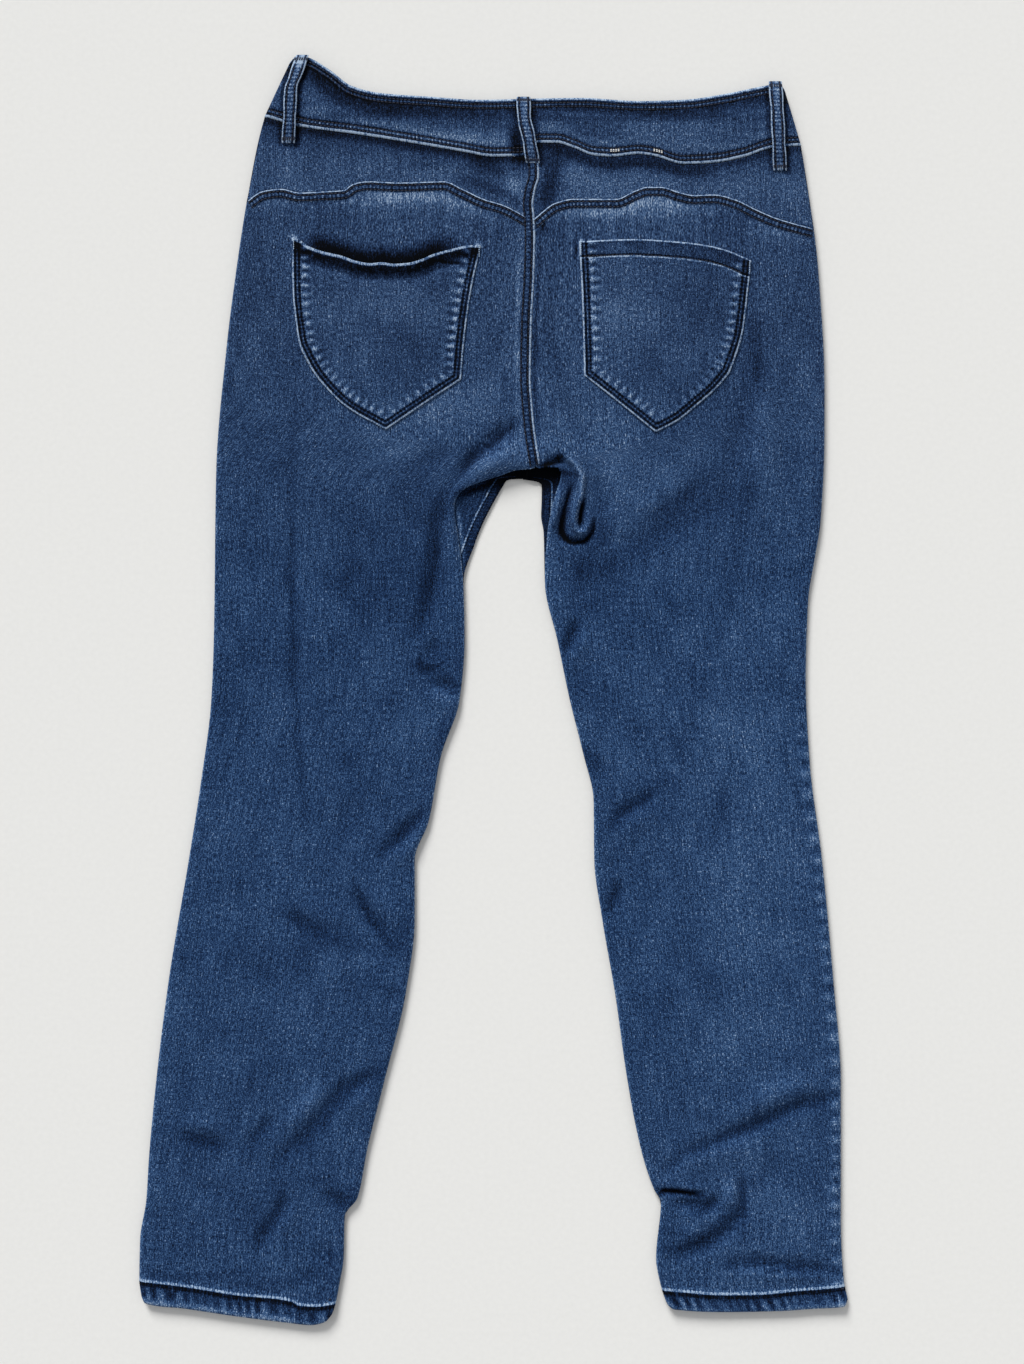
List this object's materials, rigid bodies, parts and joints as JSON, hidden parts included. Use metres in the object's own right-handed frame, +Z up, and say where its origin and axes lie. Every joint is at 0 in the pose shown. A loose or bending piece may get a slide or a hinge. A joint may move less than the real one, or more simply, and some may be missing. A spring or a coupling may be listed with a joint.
{
  "type": "skinny jeans",
  "caption": "Skinny stretch-denim jeans laid flat with the back up: curved yokes, pointed patch pockets, belt loops and narrow hemmed legs.",
  "frame": {"origin": "middle of the bounding box, on the surface that the garment lies on", "axes": "+Y from the hems up to the waist, +X to the wearer's right as the back is seen from above, +Z up from the surface, out of the back"},
  "size_m": [0.5672, 1.015, 0.0107],
  "materials": {
    "denim_leg": "washed indigo stretch denim, twill weave, matt",
    "denim_yoke": "washed indigo stretch denim, paler along the seams",
    "denim_waistband": "washed indigo stretch denim, two layers, dark topstitching",
    "denim_pocket": "washed indigo stretch denim, paler at the middle and edges",
    "denim_loop": "folded indigo denim strip with worn pale edges",
    "zip_tape": "woven navy tape with a chain down the middle",
    "button_metal": "antique brass, satin"
  },
  "bodies": {
    "root": {"back_leg_left": "denim_leg", "back_leg_right": "denim_leg", "front_leg_left": "denim_leg", "front_leg_right": "denim_leg", "yoke_left": "denim_yoke", "yoke_right": "denim_yoke", "waistband_back": "denim_waistband", "waistband_front_left": "denim_waistband", "waistband_front_right": "denim_waistband", "pocket_left": "denim_pocket", "pocket_right": "denim_pocket", "belt_loop_left": "denim_loop", "belt_loop_middle": "denim_loop", "belt_loop_right": "denim_loop", "belt_loop_front_left": "denim_loop", "belt_loop_front_right": "denim_loop", "fly_placket": "denim_waistband", "zip": "zip_tape", "waist_button": "button_metal"}
  },
  "joints": []
}
